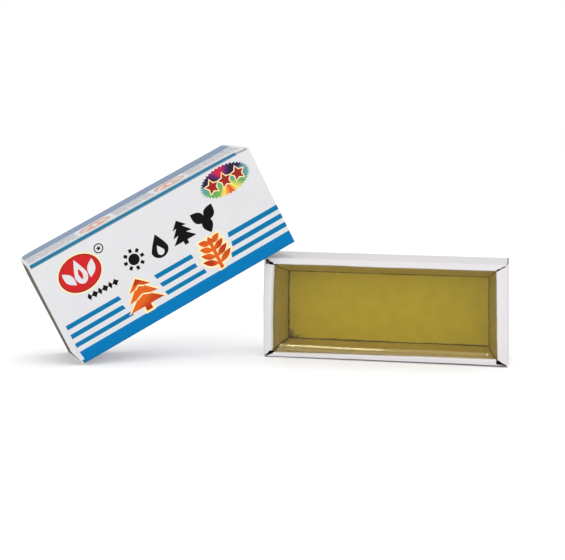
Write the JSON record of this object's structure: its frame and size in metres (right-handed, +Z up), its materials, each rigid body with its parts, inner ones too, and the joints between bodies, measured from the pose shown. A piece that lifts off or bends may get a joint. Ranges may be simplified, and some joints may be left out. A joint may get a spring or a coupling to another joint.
{
  "type": "rosin cake",
  "caption": "Clear amber rosin block cast in a folded white paperboard tray, with the tray's printed open-ended sleeve leaning on its corner.",
  "frame": {"origin": "centre of the long side that the tray stands on", "axes": "+X along the tray, away from the leaning sleeve; +Y from the tray's mouth to its floor; +Z up"},
  "size_m": [0.1512, 0.0622, 0.0658],
  "materials": {
    "white_board": "matte",
    "grey_board": "matte",
    "rosin": "gloss",
    "printed_board": "satin",
    "glue": "matte"
  },
  "bodies": {
    "tray": {"tray_floor": "white_board", "tray_lower_wall": "white_board", "tray_upper_wall": "white_board", "tray_left_wall": "white_board", "tray_right_wall": "white_board", "tray_lower_rim": "white_board", "tray_upper_rim": "white_board", "tray_left_rim": "white_board", "tray_right_rim": "white_board", "tray_lower_lining": "white_board", "tray_upper_lining": "white_board", "tray_left_lining": "white_board", "tray_right_lining": "white_board", "tray_lower_left_tab": "grey_board", "tray_upper_left_tab": "grey_board", "tray_lower_right_tab": "grey_board", "tray_upper_right_tab": "grey_board", "rosin_cake": "rosin"},
    "sleeve": {"sleeve_front_panel": "printed_board", "sleeve_back_panel": "printed_board", "sleeve_top_panel": "printed_board", "sleeve_bottom_panel": "printed_board", "sleeve_glue_flap": "grey_board", "sleeve_seam_glue": "glue"}
  },
  "joints": [
    {"name": "sleeve_slide", "type": "slide", "parent": "tray", "child": "sleeve", "axis": [0.7749, 0.412, 0.4794], "range_m": [0, 0.08]}
  ]
}
